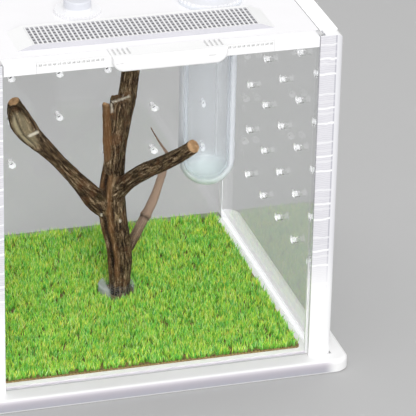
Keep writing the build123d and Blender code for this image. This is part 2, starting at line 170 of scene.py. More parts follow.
class Finish:
    """One material, built from nodes."""

    def __init__(self, name):
        self.material = bpy.data.materials.new(name)
        self.material.use_nodes = True
        self.tree = self.material.node_tree
        self.tree.nodes.clear()

    def node(self, kind, settings=None, inputs=None, output=0):
        """One node with its settings and with the values or links of its sockets."""
        made = self.tree.nodes.new("ShaderNode" + kind)
        for key, value in (settings or {}).items():
            if key == "stops":
                ramp = made.color_ramp
                while len(ramp.elements) < len(value):
                    ramp.elements.new(0.5)
                for element, (place, colour) in zip(ramp.elements, value):
                    element.position = place
                    element.color = (*colour, 1.0)
            else:
                setattr(made, key, value)
        for key, value in (inputs or {}).items():
            if isinstance(value, Flow):
                self.tree.links.new(value.socket, made.inputs[key])
            elif isinstance(value, tuple) and len(value) == 3 and made.inputs[key].type == "RGBA":
                made.inputs[key].default_value = (*value, 1.0)
            else:
                made.inputs[key].default_value = value
        return Flow(self, made.outputs[output]) if made.outputs else made

    def place(self):
        """Where the surface is in the part's frame, in metres."""
        return self.node("TexCoord", output="Object")

    def axis(self, name):
        """One part of that place."""
        return self.node("SeparateXYZ", None, {0: self.place()}, output=name)

    def facing(self, name):
        """One part of the surface normal."""
        normal = self.node("NewGeometry", output="Normal")
        return self.node("SeparateXYZ", None, {0: normal}, output=name)

    def attribute(self, name, output="Fac"):
        """A value that the piece's mesh carries."""
        return self.node("Attribute", {"attribute_name": name}, output=output)

    def speckle(self, size_mm, detail=2.0, roughness=0.5):
        """Smooth noise from 0 to 1, whose lumps are about this size."""
        return self.node("TexNoise", None, {"Vector": self.place(), "Scale": 1000 / size_mm,
                                            "Detail": detail, "Roughness": roughness})

    def mix(self, factor, first, second):
        return self.node("Mix", {"data_type": "RGBA"}, {0: factor, 6: first, 7: second}, output=2)

    def ramp(self, factor, *stops):
        return self.node("ValToRGB", {"stops": stops}, {0: factor})

    def bump(self, height, depth_mm, strength=1.0):
        return self.node("Bump", None, {"Height": height, "Distance": depth_mm * MM,
                                        "Strength": strength})

    def shader(self, **sockets):
        """One surface, from the shader's own socket names with _ for spaces."""
        inputs = {key.replace("_", " "): value for key, value in sockets.items()}
        return self.node("BsdfPrincipled", None, inputs)

    def blend(self, factor, first, second):
        return self.node("MixShader", None, {0: factor, 1: first, 2: second})

    def lets_light(self, shader, share):
        """Rays from the lamps pass the surface, dimmed to this share, so that they reach what is behind."""
        lamp_ray = self.node("LightPath", output="Is Shadow Ray")
        clear = self.node("BsdfTransparent", None, {"Color": (share, share, share)})
        return self.blend(lamp_ray, shader, clear)

    def done(self, shader):
        self.node("OutputMaterial", None, {"Surface": shader})
        return self.material

    def finish(self, **sockets):
        return self.done(self.shader(**sockets))


def grey(level):
    """A neutral colour, from the value that an image shows."""
    linear = ((level / 255 + 0.055) / 1.055) ** 2.4
    return (linear, linear, linear)


def tint(red, green, blue):
    """A colour as an image shows it, from 0 to 255."""
    return tuple(((value / 255 + 0.055) / 1.055) ** 2.4 for value in (red, green, blue))


def frosted(sheet, colour, lightest, glow=0.0):
    """Sawn or drilled acrylic: a bright matt surface, with a painted glow that stands in for the light the
    sheet leads to it.
    """
    grain = sheet.speckle(0.5)
    return sheet.shader(Base_Color=sheet.mix(grain, tint(*colour), grey(lightest)),
                        Roughness=0.45 + grain * 0.2, IOR=1.49,
                        Emission_Color=tint(*colour), Emission_Strength=glow)


def polished(sheet, bend):
    """Clear acrylic with faint smudges, which bends light by this index."""
    smudge = sheet.speckle(14, 3).above(0.5, 0.8)
    colour = sheet.mix(sheet.speckle(30, 1), tint(249, 250, 250), tint(252, 252, 252))
    return sheet.shader(Base_Color=colour, Roughness=0.004 + smudge * 0.01, IOR=bend,
                        Transmission_Weight=1.0)


def clear_acrylic():
    """Polished sheet of the door and the lid's rests, whose top and bottom edges are frosted."""
    sheet = Finish("clear_acrylic")
    level = sheet.facing("Z")
    edge = (level * level).above(0.6, 0.8)
    whole = sheet.blend(edge, polished(sheet, 1.1), frosted(sheet, (206, 206, 208), 212))
    return sheet.done(sheet.lets_light(whole, PANE_SHARE))


def from_grid(value, first, pitch):
    """How far a place is from the nearest mark of a regular row. The 10 whole steps that are added keep
    the count above 0 before its first mark."""
    return (((value - first) / pitch + 10.5).fraction() - 0.5) * pitch


def wall_acrylic(name, across, inner_face, columns, rows, bore, foot, bend):
    """A wall of polished sheet with frosted sawn edges and air holes.

    across is the axis through the wall, and inner_face is the place of its inner face on it. columns
    gives the axis along the wall, the first column of holes and the step to the next one, and rows the
    first height and its step. bore gives the painted glints of the holes: how far above its middle a
    hole's bore is painted white, how deep from the inner face, how wide the painted bright ring round its
    mouth is and how strong their painted glow is. foot is the colour and the painted glow of the strip
    that sits in the base's groove, a painted fill in place of the shade there. bend is the index of the
    clear sheet."""
    along, first_column, column_step = columns
    glint_from, glint_depth, glint_ring_width, hole_glow = bore
    foot_colour, foot_glow = foot
    sheet = Finish(name)
    height = sheet.axis("Z")
    flat = sheet.facing(across)
    edge = 1 - (flat * flat).above(0.2, 0.4)
    beyond = abs(sheet.axis(across)) - inner_face
    drilled = height.above(HOLES_FROM_Z, HOLES_FROM_Z + 1 * MM)
    drilled = drilled * (1 - height.above(HOLES_TO_Z, HOLES_TO_Z + 1 * MM))
    rise = from_grid(height, *rows)
    aside = from_grid(sheet.axis(along), first_column, column_step)
    radius = (rise * rise + aside * aside).root()
    # painted glint: the bore is white only near the inner face and above this height, and it glows
    glint_bore = 1 - beyond.above(glint_depth, glint_depth + 0.3 * MM)
    glint_bore = glint_bore * rise.above(glint_from, glint_from + 0.2 * MM)
    in_hole = 1 - radius.above(HOLE_RADIUS + 0.3 * MM, HOLE_RADIUS + 0.4 * MM)
    clear_bore = drilled * (1 - glint_bore) * in_hole
    # painted glint: a bright ring round the upper part of each hole's mouth on the inner face
    ring_end = HOLE_RADIUS + glint_ring_width
    ring = radius.above(HOLE_RADIUS - 0.1 * MM, HOLE_RADIUS)
    ring = ring * (1 - radius.above(ring_end, ring_end + 0.15 * MM))
    ring = ring * drilled * (1 - beyond.above(0.1 * MM, 0.2 * MM)) * rise.above(-0.9 * MM, -0.5 * MM)
    # frosted sawn edges, plus the painted glints of the bores and their rings
    white = (edge * (1 - clear_bore) + ring * 0.85).clamped()
    clear = sheet.blend(white, polished(sheet, bend), frosted(sheet, (246, 246, 248), 254, hole_glow))
    # painted light in the base's groove: a flat fill in place of the shade there, white and glowing on the
    # side walls, a painted grey-green reflection of the turf on the back wall
    seated = 1 - height.above(BASE_TOP + 0.35 * MM, BASE_TOP + 0.6 * MM)
    grain = sheet.speckle(0.5)
    light_foot = tint(*[value + 4 for value in foot_colour])
    painted_foot_strip = sheet.shader(Base_Color=sheet.mix(grain, tint(*foot_colour), light_foot),
                         Roughness=0.5 + grain * 0.2, Emission_Color=tint(*foot_colour),
                         Emission_Strength=foot_glow)
    return sheet.done(sheet.lets_light(sheet.blend(seated, clear, painted_foot_strip), PANE_SHARE))


def post_acrylic():
    """Thick clear bar, drawn as a solid pale body. Painted bright lines stand in for the edges and holes of
    the wall behind it shining through, and fade into painted white near the base; a painted grey shade
    line runs just inside the end of the flat face, and the top is white. The thin lip behind the door is
    clear."""
    sheet = Finish("post_acrylic")
    height = sheet.axis("Z")
    across = abs(sheet.axis("X"))
    wobble = (sheet.speckle(4, 3) - 0.5) * 1.6 * MM
    between_rows = ((height + wobble - SIDE_HOLE_Z) / SIDE_HOLE_PITCH_Z).fraction()
    # painted light: bright lines that stand in for the wall's edges and holes shining through the bar
    lines = 0.0
    for place, strength in POST_PAINTED_LINES:
        lines = lines + (1 - abs(between_rows - place).above(0.010, 0.030)) * strength
    flat_part = 1 - across.above(POST_FLAT_END - 0.15 * MM, POST_FLAT_END)
    # painted shade: a grey line just inside the end of the flat face
    seam = flat_part * across.above(POST_FLAT_END - 0.6 * MM, POST_FLAT_END - 0.35 * MM)
    # painted white near the base
    low = 1 - height.above(POST_PAINTED_WHITE_TOP, POST_PAINTED_WHITE_TOP + 18 * MM)
    top = sheet.facing("Z").above(0.3, 0.6)
    bright = (lines * flat_part + low + top).clamped()
    fine = sheet.speckle(2.4, 4, 0.7)
    hatch = sheet.node("TexWave", {"bands_direction": "Z"}, {"Vector": sheet.place(), "Scale": 560.0,
                                                              "Distortion": 5.0, "Detail": 3.0},
                       output="Fac")
    body = sheet.mix(fine * 0.6 + hatch * 0.4, tint(208, 207, 213), tint(238, 237, 242))
    body = sheet.mix(1 - flat_part, body, tint(234, 234, 238))
    body = sheet.mix(seam * 0.7, body, tint(176, 175, 186))
    colour = sheet.mix(bright, body, tint(253, 253, 254))
    solid = sheet.shader(Base_Color=colour, Roughness=0.10 + fine * 0.1, IOR=1.49)
    lip = (1 - across.above(POST_LIP_END, POST_LIP_END + 0.1 * MM)) * (1 - low)
    lip = lip * sheet.axis("Y").above(POST_LIP_FRONT_Y, POST_LIP_FRONT_Y + 0.2 * MM)
    solid = sheet.blend(lip, solid, polished(sheet, 1.1))
    return sheet.done(sheet.lets_light(solid, 0.75))


def milky_acrylic(name, colour, share):
    """Whitened acrylic that lets some light through, with painted shade in the vent's opening."""
    sheet = Finish(name)
    cloud = sheet.speckle(9, 3)
    shade = sheet.mix(cloud, tint(*colour), tint(*[min(255, value + 4) for value in colour]))
    # painted shade on the sawn edges inside the vent's opening
    shade = sheet.mix(vent_inside(sheet), shade, grey(120))
    solid = sheet.shader(Base_Color=shade, Roughness=0.12 + cloud * 0.1, IOR=1.49)
    return sheet.done(sheet.lets_light(solid, share))


def moulded(sheet, colour, cloud):
    """A smooth white moulding with a faint texture."""
    return sheet.finish(Base_Color=colour, Roughness=0.26 + cloud * 0.14, IOR=1.5,
                        Normal=sheet.bump(sheet.speckle(0.35), 0.012, 0.4))


def white_plastic():
    """White moulding of the finger pull."""
    sheet = Finish("white_plastic")
    cloud = sheet.speckle(12, 3)
    return moulded(sheet, sheet.mix(cloud, grey(244), grey(250)), cloud)


def mesh_plastic():
    """White mesh: bright bars between the columns of holes, and webs between the holes painted grey as
    shade.
    """
    sheet = Finish("mesh_plastic")
    column = ((sheet.axis("X") - VENT_LOW.x - MESH_MARGIN) / MESH_PITCH).fraction()
    # painted shade: grey webs along each column of holes
    web_shade = 1 - abs(column - 0.5).above(0.28, 0.36)
    cloud = sheet.speckle(6, 3)
    colour = sheet.mix(web_shade, grey(246), tint(184, 183, 190))
    colour = sheet.mix(cloud * 0.3, colour, grey(226))
    return sheet.finish(Base_Color=colour, Roughness=0.4 + cloud * 0.2, Specular_IOR_Level=0.3)


def vent_inside(sheet):
    """1 inside the vent's opening, below the mesh, and 0 elsewhere."""
    middle = (VENT_LOW + VENT_HIGH) / 2
    half = (VENT_HIGH - VENT_LOW) / 2
    inside = 1 - sheet.axis("Z").above(VENT_LOW.z + 0.02 * MM, VENT_LOW.z + 0.06 * MM)
    for name, centre, reach in (("X", middle.x, half.x), ("Y", middle.y, half.y)):
        inside = inside * (1 - abs(sheet.axis(name) - centre).above(reach, reach + 0.1 * MM))
    return inside


def frame_plastic():
    """White frame of the vent, with painted shade on its upright front and under the mesh."""
    sheet = Finish("frame_plastic")
    cloud = sheet.speckle(8, 3)
    # painted shade: the upright front is greyer than the top
    front = (-sheet.facing("Y")).above(0.3, 0.7)
    colour = sheet.mix(cloud, grey(244), grey(249))
    colour = sheet.mix(front, colour, sheet.mix(cloud, tint(200, 200, 206), tint(214, 213, 218)))
    # painted shade under the mesh
    colour = sheet.mix(vent_inside(sheet), colour, grey(128))
    return sheet.finish(Base_Color=colour, Roughness=0.3 + cloud * 0.15, Specular_IOR_Level=0.4)


def tray_plastic():
    """White moulding of the base, with painted shade on its upright front face between its rounded ends,
    darker towards the bottom and stopping just above the bottom edge.
    """
    sheet = Finish("tray_plastic")
    cloud = sheet.speckle(12, 3)
    height = sheet.axis("Z")
    middle = 1 - abs(sheet.axis("X")).above(47 * MM, 51 * MM)
    # painted shade on the upright front; the ramp below makes it darker lower down
    front_shade = (-sheet.facing("Y")).above(0.55, 0.9) * middle * height.above(0.45 * MM, 0.75 * MM)
    shade = sheet.ramp(height / BASE_TOP, (0.15, tint(176, 177, 186)), (0.5, tint(184, 181, 190)),
                       (0.85, tint(208, 203, 210)), (1.0, tint(226, 222, 228)))
    colour = sheet.mix(cloud, grey(246), grey(251))
    return moulded(sheet, sheet.mix(front_shade, colour, shade), cloud)


def cap_plastic():
    """Moulding of the cap and the plug, painted a pale grey-blue shade above the flanges, which are whiter.
    """
    sheet = Finish("cap_plastic")
    cloud = sheet.speckle(6, 3)
    colour = sheet.mix(cloud, tint(214, 216, 224), tint(224, 226, 232))
    # painted shade: pale grey-blue above the flange top, white on the flanges below
    flange = 1 - sheet.axis("Z").above(CAP_FLANGE_TOP, CAP_FLANGE_TOP + 0.6 * MM)
    colour = sheet.mix(flange, colour, tint(246, 246, 248))
    return sheet.finish(Base_Color=colour, Roughness=0.3 + cloud * 0.15, IOR=1.5,
                        Normal=sheet.bump(sheet.speckle(0.4), 0.01, 0.4))


def tube_plastic():
    """Thin clear tube with painted pale highlights along its edges and a white lip, cloudy and a little
    cyan at its round end.
    """
    sheet = Finish("tube_plastic")
    height = sheet.axis("Z")
    round_end = 1 - height.above(TUBE_END + 1 * MM, TUBE_END + 9 * MM)
    smudge = sheet.speckle(5, 2).above(0.45, 0.8)
    glass = sheet.shader(Base_Color=sheet.mix(round_end, tint(252, 253, 254), tint(244, 251, 250)),
                         Roughness=0.02 + smudge * 0.03, IOR=1.3, Specular_IOR_Level=0.4,
                         Transmission_Weight=1.0)
    cloud = sheet.shader(Base_Color=sheet.mix(round_end, tint(236, 240, 246), tint(224, 236, 234)),
                         Roughness=0.3)
    grazing_highlight = sheet.node("LayerWeight", None, {"Blend": 0.5}, output="Facing")
    lip = height.above(LID_TOP - 0.05 * MM, LID_TOP + 0.1 * MM)
    share = 0.07 + round_end * 0.45 + sheet.speckle(4, 3).above(0.5, 0.8) * 0.05
    # painted highlight: white cloud where the surface turns away, along the tube's edges
    share = (share + grazing_highlight.above(0.36, 0.58) * 0.9 + lip).clamped()
    return sheet.done(sheet.lets_light(sheet.blend(share, glass, cloud), 0.92))


def turf_backing():
    """Brown woven backing."""
    sheet = Finish("turf_backing")
    weave = sheet.node("TexWave", {"bands_direction": "X"}, {"Vector": sheet.place(), "Scale": 320.0,
                                                              "Distortion": 2.0}, output="Fac")
    fleck = sheet.speckle(0.9, 3)
    colour = sheet.mix(weave * 0.4 + fleck * 0.6, tint(96, 82, 44), tint(150, 128, 82))
    return sheet.finish(Base_Color=colour, Roughness=0.9, Normal=sheet.bump(weave, 0.08))


def turf_fibre():
    """Bright plastic pile: each blade has its own hue and depth of colour, and its foot is darker."""
    sheet = Finish("turf_fibre")
    hue = sheet.attribute("blade_hue")
    depth = sheet.attribute("blade_depth")
    height = sheet.axis("Z")
    tip = height.above(4.4 * MM, 6.2 * MM)
    patch = sheet.speckle(5, 3).above(0.3, 0.7)
    blade = sheet.ramp(hue * 0.75 + patch * 0.25,
                       (0.0, tint(88, 190, 112)), (0.2, tint(110, 208, 84)), (0.45, tint(156, 226, 74)),
                       (0.7, tint(206, 240, 92)), (0.88, tint(240, 238, 96)), (1.0, tint(246, 216, 112)))
    blade = sheet.mix(depth.above(0.55, 1.0) * 0.5, blade, tint(70, 130, 44))
    blade = sheet.mix((1 - depth).above(0.7, 1.0) * 0.55, blade, tint(240, 250, 190))
    colour = sheet.mix(tip, tint(84, 140, 40), blade)
    fibre = sheet.shader(Base_Color=colour, Roughness=0.5 + patch * 0.15, Specular_IOR_Level=0.2)
    return sheet.done(sheet.lets_light(fibre, 0.9))


def foot_plastic():
    """Thin clear plastic of the foot disc, cloudy at its left and right."""
    sheet = Finish("foot_plastic")
    cloud = sheet.speckle(3, 3)
    side = sheet.axis("X") - FOOT_CENTRE.x
    rim = (-side).above(2.4 * MM, 3.6 * MM) + side.above(3.4 * MM, 4.8 * MM) * 0.6
    return sheet.finish(Base_Color=sheet.mix(cloud, tint(196, 206, 204), tint(222, 230, 228)),
                        Roughness=0.2 + cloud * 0.1, IOR=1.3,
                        Alpha=0.03 + rim * (0.45 + cloud * 0.15))


def bark():
    """Brown bark with dark furrows and pale chips, a painted highlight in the gap between the stub and the
    snag, bare wood in the wound and tan cut ends.
    """
    sheet = Finish("bark")
    flow = sheet.attribute("bark_flow", "Vector")
    cut = sheet.attribute("cut_end")
    pale = sheet.attribute("pale_bark")
    wound = sheet.attribute("bare_wood")
    crack = sheet.attribute("bark_crack")
    ridge = sheet.attribute("ruddy_bark")
    chip_and_gap_light = sheet.attribute("pale_chip")
    furrow = sheet.node("TexNoise", None, {"Vector": flow, "Scale": 2.6, "Detail": 8.0,
                                           "Roughness": 0.72})
    patch = sheet.speckle(5, 3)
    ruddy = sheet.speckle(3.5, 2)
    fine = sheet.speckle(0.42, 4, 0.75)
    skin = sheet.ramp(furrow * 0.72 + fine * 0.28, (0.39, tint(16, 9, 5)), (0.455, tint(44, 30, 19)),
                      (0.51, tint(82, 66, 46)), (0.565, tint(136, 114, 86)), (0.65, tint(208, 190, 160)))
    skin = sheet.mix(patch.above(0.5, 0.64) * 0.3, skin, tint(70, 62, 38))
    skin = sheet.mix(ruddy.above(0.52, 0.64) * 0.35, skin, tint(108, 72, 46))
    skin = sheet.mix(pale * 0.66, skin, tint(198, 170, 150))
    rings = sheet.node("TexWave", {"wave_type": "RINGS", "rings_direction": "SPHERICAL"},
                       {"Vector": flow, "Scale": 2.4, "Distortion": 2.0, "Detail": 3.0}, output="Fac")
    grain = rings * 0.25 + fine * 0.3 + sheet.speckle(1.1, 3).above(0.3, 0.7) * 0.45
    wood = sheet.mix(grain, tint(126, 84, 52), tint(224, 184, 138))
    strip = sheet.mix(fine, tint(148, 134, 102), tint(208, 196, 162))
    skin = sheet.mix(ridge * 0.6, skin, tint(142, 100, 62))
    colour = sheet.mix(wound, skin, strip)
    colour = sheet.mix(crack, colour, tint(22, 14, 9))
    colour = sheet.mix(cut, colour, wood)
    # pale chips, and the painted highlight between the stub and the snag
    colour = sheet.mix(chip_and_gap_light, colour, tint(228, 220, 202))
    relief = furrow * 0.6 + fine * 0.4
    return sheet.finish(Base_Color=colour, Roughness=0.72 + fine * 0.2, Specular_IOR_Level=0.1,
                        Normal=sheet.bump(relief, 0.8, 1.0))


def studio_floor():
    """Plain grey floor."""
    sheet = Finish("studio_floor")
    cloud = sheet.speckle(400, 1)
    colour = sheet.mix(cloud, grey(190), grey(192))
    return sheet.finish(Base_Color=colour, Roughness=0.9, Specular_IOR_Level=0.1)


def wear(name, material):
    """Give a CAD node its own material."""
    mesh = nodes[name].data
    mesh.materials.clear()
    mesh.materials.append(material)


def alone(piece):
    """Select this piece and nothing else."""
    bpy.ops.object.select_all(action="DESELECT")
    piece.select_set(True)
    bpy.context.view_layer.objects.active = piece


def settle(piece):
    """Put the piece's place, turn and size into its mesh."""
    alone(piece)
    bpy.ops.object.transform_apply(location=True, rotation=True, scale=True)


def add_attribute(mesh, name, values):
    """Give each corner of a mesh a value that its material reads."""
    layer = mesh.attributes.new(name, "FLOAT", "POINT")
    layer.data.foreach_set("value", np.asarray(values, np.float32))


# Turf: tufts of bent three-sided blades, planted in jittered rows
PILE_LOW, PILE_HIGH = (Vector(corner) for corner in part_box("turf_pile"))
TUFT_PITCH = 1.02 * MM
TUFT_SPREAD = 0.30 * MM
TUFT_MARGIN = 0.25 * MM
BLADES_PER_TUFT = 5
BLADE_WIDTH = 0.30 * MM
BLADE_LENGTH = 2.62 * MM
BLADE_FOLD = 0.6
BLADE_STRAIGHT = 0.25
BLADE_BEND = 0.55 * MM
BLADE_FLATNESS = 0.55
BLADE_LEAN = 0.24


def model_blade():
    """One blade: a slim flat cone with three sides, which bends over above a quarter of its height."""
    bpy.ops.object.select_all(action="DESELECT")
    bpy.ops.mesh.primitive_cone_add(vertices=3, radius1=BLADE_WIDTH, radius2=0, depth=BLADE_LENGTH,
                                    location=(0, 0, BLADE_LENGTH / 2))
    blade = bpy.context.object
    settle(blade)
    bpy.ops.object.mode_set(mode="EDIT")
    bpy.ops.mesh.select_all(action="SELECT")
    bpy.ops.mesh.bisect(plane_co=(0, 0, BLADE_LENGTH * BLADE_FOLD), plane_no=(0, 0, 1))
    bpy.ops.mesh.select_all(action="DESELECT")
    bpy.ops.object.mode_set(mode="OBJECT")
    for vertex in blade.data.vertices:
        rise = max(0.0, vertex.co.z / BLADE_LENGTH - BLADE_STRAIGHT)
        vertex.co.x += BLADE_BEND * rise ** 2
        vertex.co.y *= BLADE_FLATNESS
    return blade


def blade_places(rng, share):
    """Where the blades of this share of the tufts stand, clear of the foot disc."""
    across = np.arange(PILE_LOW.x + TUFT_PITCH / 2, PILE_HIGH.x, TUFT_PITCH)
    along = np.arange(PILE_LOW.y + TUFT_PITCH / 2, PILE_HIGH.y, TUFT_PITCH)
    grid = np.array([(x, y) for y in along for x in across])
    grid = grid[rng.permutation(len(grid))[:int(len(grid) * share)]]
    stems = np.repeat(grid, BLADES_PER_TUFT, axis=0)
    stems += rng.normal(0, TUFT_SPREAD, stems.shape)
    low = np.array((PILE_LOW.x, PILE_LOW.y)) + TUFT_MARGIN
    high = np.array((PILE_HIGH.x, PILE_HIGH.y)) - TUFT_MARGIN
    stems = np.clip(stems, low, high)
    away = np.hypot(stems[:, 0] - FOOT_CENTRE.x, stems[:, 1] - FOOT_CENTRE.y)
    return stems[away > FOOT_RADIUS]


def plant_turf(name, seed, share):
    """A share of the mat's tufts, joined into one piece. The blades are taller near the back wall."""
    rng = np.random.default_rng(seed)
    blade = model_blade()
    points = np.array([vertex.co[:] for vertex in blade.data.vertices])
    faces = [tuple(face.vertices) for face in blade.data.polygons]
    bpy.data.objects.remove(blade)
    stems = blade_places(rng, share)
    count = len(stems)
    turn = rng.uniform(0, 2 * math.pi, count)
    lean = rng.normal(0, BLADE_LEAN, (count, 2))
    size = rng.uniform(0.72, 1.0, count)
    size *= 1 + 0.3 * np.clip((stems[:, 1] - PILE_HIGH.y + 4 * MM) / (3 * MM), 0, 1)
    hue = rng.uniform(0, 1, count)
    depth = rng.uniform(0, 1, count)
    cosine, sine = np.cos(turn)[:, None], np.sin(turn)[:, None]
    x = points[None, :, 0] * cosine - points[None, :, 1] * sine
    y = points[None, :, 0] * sine + points[None, :, 1] * cosine
    z = points[None, :, 2] * size[:, None]
    x = x + lean[:, 0:1] * z + stems[:, 0:1]
    y = y + lean[:, 1:2] * z + stems[:, 1:2]
    x = np.clip(x, PILE_LOW.x - 0.5 * MM, PILE_HIGH.x + 0.5 * MM)
    y = np.clip(y, PILE_LOW.y - 0.5 * MM, PILE_HIGH.y + 0.4 * MM)
    z = z + PILE_LOW.z - 0.1 * MM
    corners = np.stack((x, y, z), axis=2).reshape(-1, 3)
    step = len(points)
    sides = [tuple(vertex + blade_index * step for vertex in face)
             for blade_index in range(count) for face in faces]
    mesh = bpy.data.meshes.new(name)
    mesh.from_pydata(corners.tolist(), [], sides)
    add_attribute(mesh, "blade_hue", np.repeat(hue, step))
    add_attribute(mesh, "blade_depth", np.repeat(depth, step))
    turf = bpy.data.objects.new(name, mesh)
    bpy.context.scene.collection.objects.link(turf)
    turf.data.materials.append(finishes["turf_fibre"])
    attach(turf, "root")
    return turf


# Branch: the CAD limbs, remeshed and roughened along the grain. Each limb is a row of places with its
# radius there, in millimetres, above the backing that the foot stands on
STAND_Z = 4.6
TRUNK = ((1.6, 2.0, 0.0, 3.1), (1.9, 2.5, 10.2, 3.56), (0.4, 2.5, 20.3, 3.78), (-0.8, 2.0, 28.9, 3.88),
         (-0.7, 2.0, 36.5, 3.45), (0.2, 2.9, 43.3, 2.95), (2.3, 4.0, 53.1, 2.6), (3.9, 5.0, 60.0, 2.6),
         (5.6, 6.4, 68.3, 2.55), (7.1, 7.6, 87.4, 2.5))
LEFT_LIMB = ((-0.6, 2.0, 26.0, 2.6), (-12.2, 0.0, 39.3, 2.3), (-20.6, -1.8, 49.6, 2.2),
             (-27.1, -4.0, 57.8, 3.1), (-31.4, -5.7, 68.2, 1.5))
STUB = ((-0.8, 1.6, 40.0, 2.0), (-2.3, 0.5, 46.8, 1.5), (-3.1, -0.3, 55.2, 1.15), (-3.5, -1.0, 62.3, 1.0))
SNAG = ((-1.2, 1.4, 41.0, 2.4), (-0.5, 1.1, 48.0, 2.5), (0.3, 0.8, 55.5, 2.6), (1.0, 0.7, 62.8, 2.7))
RIGHT_LIMB = ((-0.4, 1.6, 31.8, 2.4), (5.2, -10.0, 44.1, 2.3), (9.3, -20.0, 51.5, 2.1),
              (14.6, -28.0, 59.3, 1.9))
TWIG = ((2.4, 3.2, 7.4, 1.44), (5.6, 5.6, 13.0, 1.4), (11.7, 10.0, 20.1, 1.38), (16.5, 13.0, 29.0, 1.16),
        (19.8, 15.0, 37.1, 1.02))
SPRIG = ((19.9, 15.1, 36.0, 0.5), (15.8, 14.0, 42.6, 0.28), (13.6, 13.0, 46.8, 0.18))
LIMBS = {"trunk": TRUNK, "left_limb": LEFT_LIMB, "stub": STUB, "snag": SNAG, "right_limb": RIGHT_LIMB,
         "twig": TWIG, "sprig": SPRIG}
BARK_VOXEL = 0.42 * MM
TRUNK_FURROW_WAY = math.radians(-144)
TRUNK_RIDGE_OFF = 0.42
TWIG_NODE_ALONG = 17.2
TWIG_CRACK_ALONG = 5.2
FOOT_HEIGHT = 3.6

# Bare chips and one painted highlight, each from one place to another with half its width, on the side that
# CHIP_WAY strikes
CHIPS_AND_GAP_LIGHT = (((-27.3, -7.0, 62.1), (-25.0, -7.0, 63.0), 0.30),
         # painted highlight: the light in the gap between the stub and the snag, painted pale on the bark
         ((-2.4, -2.0, 67.1), (-2.0, -2.0, 64.5), 0.22),
         ((-0.3, -2.0, 68.0), (3.6, 1.0, 67.6), 0.24),
         ((-2.0, -2.0, 67.8), (-0.6, -2.0, 67.9), 0.2),
         ((-4.8, -1.0, 32.1), (-4.7, -1.0, 31.7), 0.24),
         ((0.6, -1.7, 29.9), (0.7, -1.7, 29.5), 0.2))
CHIP_WAY = np.array((0.260, 0.860, -0.439))

# Wound of the left limb: its middle along the limb, its half length, the half angle that it spreads
# over, the way that it faces and the way of its pale outer side
WOUND_ALONG = 44.0
WOUND_HALF_LENGTH = 9.2
WOUND_HALF_ANGLE = 1.05
WOUND_WAY = np.array((-0.21, -0.89, -0.40)) / np.linalg.norm((-0.21, -0.89, -0.40))
WOUND_OUTER = np.array((-0.77, -0.09, -0.63))


def nearest_limb(points):
    """For each point: the nearest limb, the length along it, the way out from its axis and how far
    past the limb's end it lies."""
    best = np.full(len(points), 1e9)
    along = np.zeros(len(points))
    outward = np.zeros((len(points), 3))
    names = np.full(len(points), "trunk", dtype="U10")
    past_end = np.full(len(points), -1.0)
    for name, limb in LIMBS.items():
        start = 0.0
        for index in range(len(limb) - 1):
            a = np.array(limb[index][:3]) * MM + np.array((0, 0, STAND_Z * MM))
            b = np.array(limb[index + 1][:3]) * MM + np.array((0, 0, STAND_Z * MM))
            length = np.linalg.norm(b - a)
            share = np.clip((points - a) @ (b - a) / length ** 2, 0, 1)
            away = points - (a + share[:, None] * (b - a))
            radius = (limb[index][3] * (1 - share) + limb[index + 1][3] * share) * MM
            gap = np.linalg.norm(away, axis=1) - radius
            closer = gap < best
            best[closer] = gap[closer]
            along[closer] = (start + share * length)[closer]
            outward[closer] = away[closer]
            names[closer] = name
            if index == len(limb) - 2:
                beyond = (points - b) @ (b - a) / length
                past_end[closer] = beyond[closer]
            else:
                past_end[closer] = -1.0
            start += length
    return names, along, outward, past_end


def limb_wound(names, along, outward):
    """An old wound on the left limb: a bare hollow, paler on its outer side, with a dark seam along it
    and a swollen lip round it."""
    way = outward / np.maximum(np.linalg.norm(outward, axis=1), 1e-9)[:, None]
    spread = np.arccos(np.clip(way @ WOUND_WAY, -1, 1))
    around = np.hypot((along - WOUND_ALONG) / WOUND_HALF_LENGTH, spread / WOUND_HALF_ANGLE)
    here = names == "left_limb"
    hollow = np.clip((0.85 - around) / 0.2, 0, 1) * here
    lip = np.clip(1 - np.abs(around - 1.0) / 0.25, 0, 1) * here
    side = way @ WOUND_OUTER
    seam = np.clip(1 - np.abs(side - 0.62) / 0.12, 0, 1) * hollow
    bare = hollow * (0.45 + 0.55 * np.clip((side - 0.6) / 0.1, 0, 1))
    return hollow, bare, lip, seam


def chips_and_gap_light_on(points, normals):
    """How far each point is in one of the bare chips or in the painted highlight between the stub and the
    snag, which are short lines.
    """
    share = np.zeros(len(points))
    for start, end, half_width in CHIPS_AND_GAP_LIGHT:
        line = (np.array(end) - np.array(start)) * MM
        line -= line.dot(CHIP_WAY) * CHIP_WAY
        away = points - np.array(start) * MM
        depth = away @ CHIP_WAY
        away = away - depth[:, None] * CHIP_WAY
        along = np.clip(away @ line / line.dot(line), 0, 1)
        gap = np.linalg.norm(away - along[:, None] * line, axis=1) / MM
        here = np.clip((half_width * 1.6 - gap) / (half_width * 0.8), 0, 1)
        share = np.maximum(share, here * (np.abs(depth) < 7 * MM) * (normals @ CHIP_WAY < -0.1))
    return share


def fine_branch():
    """A copy of the CAD limbs as one fine, even mesh."""
    source = nodes["branch"]
    branch = source.copy()
    branch.data = source.data.copy()
    branch.name = "bark_branch"
    branch.parent = None
    for key in list(branch.keys()):
        if key.startswith("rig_"):
            del branch[key]
    bpy.context.scene.collection.objects.link(branch)
    alone(branch)
    bpy.ops.object.mode_set(mode="EDIT")
    bpy.ops.mesh.select_all(action="SELECT")
    bpy.ops.mesh.remove_doubles(threshold=0.000005)
    bpy.ops.object.mode_set(mode="OBJECT")
    branch.data.remesh_voxel_size = BARK_VOXEL
    bpy.ops.object.voxel_remesh()
    return branch


